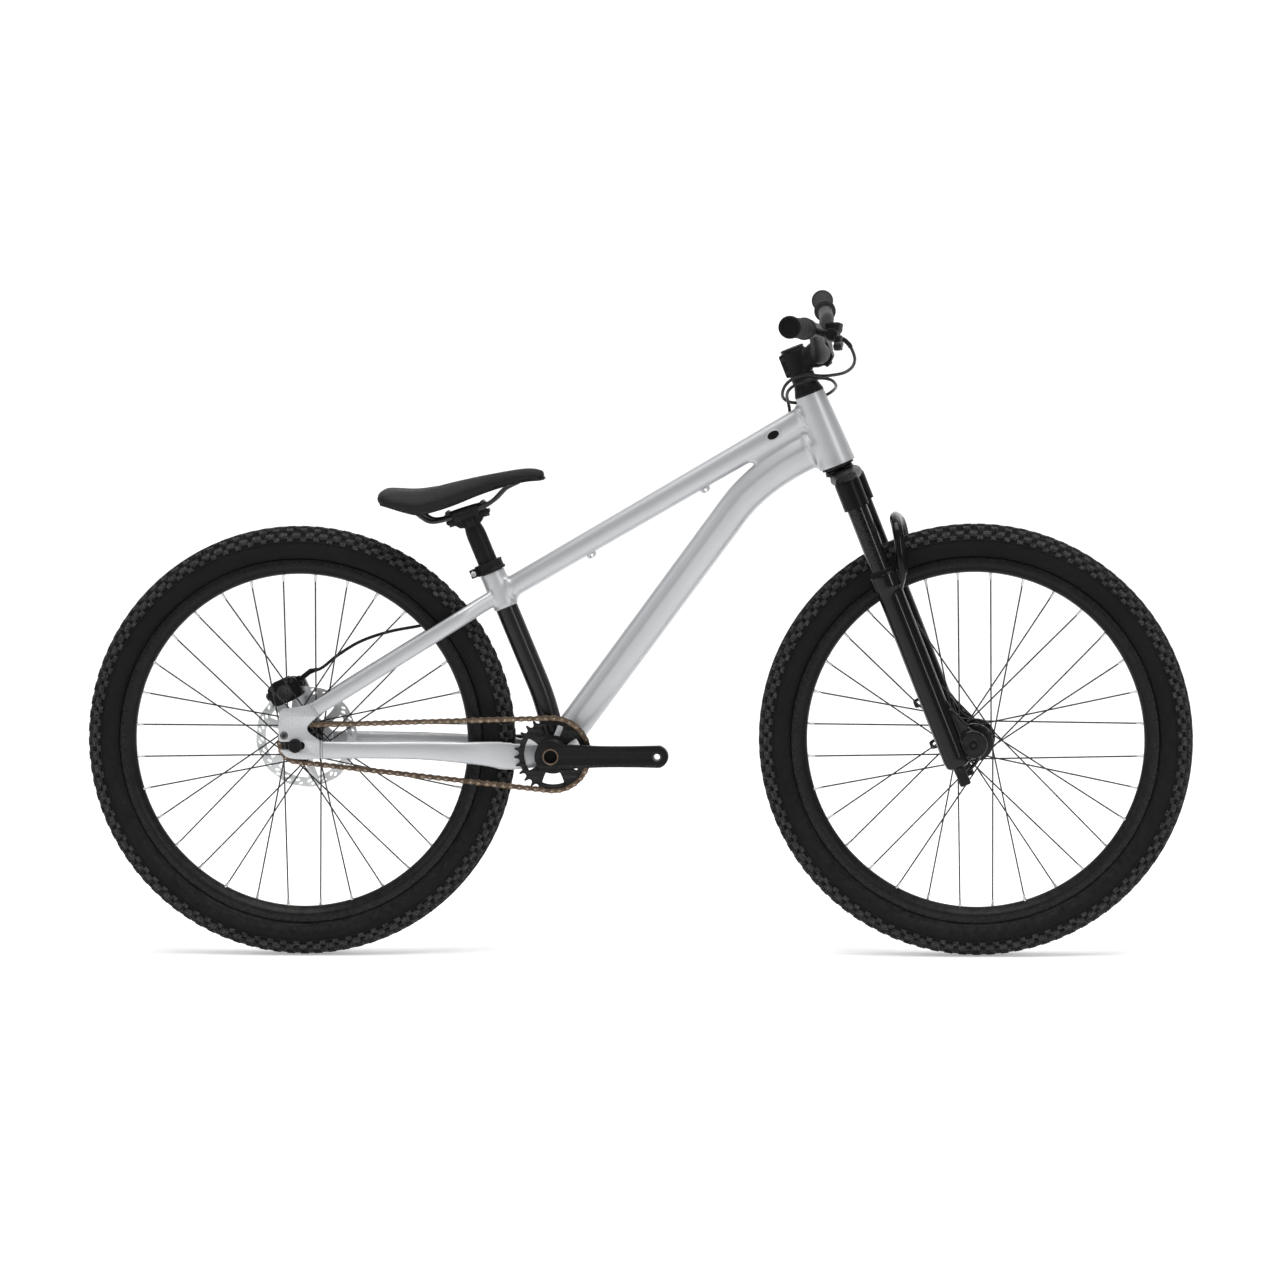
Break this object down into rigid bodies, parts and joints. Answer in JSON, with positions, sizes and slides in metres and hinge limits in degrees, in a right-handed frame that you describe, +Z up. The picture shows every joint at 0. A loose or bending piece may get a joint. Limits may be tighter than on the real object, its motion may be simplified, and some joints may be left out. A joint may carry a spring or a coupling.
{
  "type": "bicycle",
  "caption": "Dirt jump bicycle with a low sloping frame, suspension fork, chain drive, rear disc brake and a small raised saddle.",
  "frame": {"origin": "on the ground, midway between the two wheel axles, in the plane of the wheels", "axes": "+X towards the front wheel, +Y to the rider's left, +Z up; the chain side faces -Y"},
  "size_m": [1.723, 0.7828, 1.0148],
  "materials": {
    "frame_silver": "satin light silver paint",
    "frame_black": "satin black paint",
    "fork_black": "gloss black paint",
    "black_alloy": "satin black anodised",
    "dark_steel": "dark plated",
    "rotor_steel": "brushed",
    "chain_bronze": "bronze brown plating",
    "pad_compound": "sintered, dull",
    "tyre_rubber": "black rubber with block tread",
    "grip_rubber": "matt dark grey, ribbed",
    "seal_rubber": "matt black",
    "hose_plastic": "satin black sleeve",
    "shell_plastic": "moulded black",
    "saddle_skin": "matt dark grey cover"
  },
  "bodies": {
    "frame": {"head_tube": "frame_silver", "top_tube": "frame_silver", "down_tube": "frame_silver", "seat_tube": "frame_black", "seat_lug": "frame_silver", "bottom_bracket_shell": "frame_silver", "chainstay_yoke": "frame_silver", "chainstay_right": "frame_silver", "chainstay_left": "frame_silver", "seatstay_right": "frame_silver", "seatstay_left": "frame_silver", "dropout_right": "frame_silver", "dropout_left": "frame_silver", "headset_upper": "black_alloy", "headset_lower": "black_alloy", "bottom_bracket_cup_right": "black_alloy", "bottom_bracket_cup_left": "black_alloy", "seat_clamp": "black_alloy", "rear_axle": "dark_steel", "brake_caliper": "black_alloy", "brake_pads": "pad_compound", "hose_rear": "hose_plastic", "port_plug": "seal_rubber", "chain": "chain_bronze"},
    "seatpost": {"seatpost": "black_alloy", "saddle_clamp": "black_alloy", "saddle_bolt_front": "dark_steel", "saddle_bolt_rear": "dark_steel", "saddle_rails": "dark_steel", "saddle_shell": "shell_plastic", "saddle_cover": "saddle_skin"},
    "steering": {"fork_crown": "fork_black", "stanchion_right": "black_alloy", "stanchion_left": "black_alloy", "headset_spacer": "black_alloy", "stem": "black_alloy", "stem_faceplate": "black_alloy", "top_cap": "black_alloy", "handlebar": "black_alloy", "grip_right": "grip_rubber", "grip_left": "grip_rubber", "brake_master": "black_alloy", "hose_loop": "hose_plastic"},
    "brake_lever": {"brake_lever": "black_alloy"},
    "fork_lowers": {"fork_lowers": "fork_black", "fork_wiper_right": "seal_rubber", "fork_wiper_left": "seal_rubber", "front_axle": "dark_steel"},
    "front_wheel": {"front_hub": "black_alloy", "front_rim": "black_alloy", "front_tyre": "tyre_rubber"},
    "rear_wheel": {"rear_hub": "black_alloy", "rear_rim": "black_alloy", "rear_tyre": "tyre_rubber", "brake_rotor": "rotor_steel"},
    "freewheel": {"rear_cog": "dark_steel"},
    "cranks": {"crank_spindle": "dark_steel", "crank_right": "black_alloy", "crank_left": "black_alloy", "chainring": "black_alloy"}
  },
  "joints": [
    {"name": "seatpost_slide", "type": "slide", "parent": "frame", "child": "seatpost", "axis": [-0.3746, 0, 0.9272], "range_m": [-0.04, 0.05]},
    {"name": "steering_turn", "type": "hinge", "parent": "frame", "child": "steering", "pos_m": [0.48536, 0, 0.32059], "axis": [-0.3584, 0, 0.9336], "range_deg": [-80, 80], "deforming": ["hose_loop"]},
    {"name": "lever_pull", "type": "hinge", "parent": "steering", "child": "brake_lever", "pos_m": [0.33321, -0.262, 0.96647], "axis": [0, 0, -1], "range_deg": [0, 17], "stiffness_Nm_per_rad": 0.5, "springref_deg": -17.19},
    {"name": "fork_travel", "type": "slide", "parent": "steering", "child": "fork_lowers", "axis": [-0.3584, 0, 0.9336], "range_m": [0, 0.1], "stiffness_N_per_m": 7000, "springref_m": -0.02},
    {"name": "front_wheel_spin", "type": "hinge", "parent": "fork_lowers", "child": "front_wheel", "pos_m": [0.5255, 0, 0.336], "axis": [0, 1, 0], "continuous": true},
    {"name": "rear_wheel_spin", "type": "hinge", "parent": "frame", "child": "rear_wheel", "pos_m": [-0.5255, 0, 0.336], "axis": [0, 1, 0], "continuous": true},
    {"name": "crank_turn", "type": "hinge", "parent": "frame", "child": "cranks", "pos_m": [-0.12716, 0, 0.319], "axis": [0, 1, 0], "continuous": true, "deforming": ["chain"]},
    {"name": "cog_turn", "type": "hinge", "parent": "frame", "child": "freewheel", "pos_m": [-0.5255, 0, 0.336], "axis": [0, 1, 0], "continuous": true}
  ],
  "couplings": [
    {"joint": "cog_turn", "follows": "crank_turn", "ratio": 2}
  ]
}
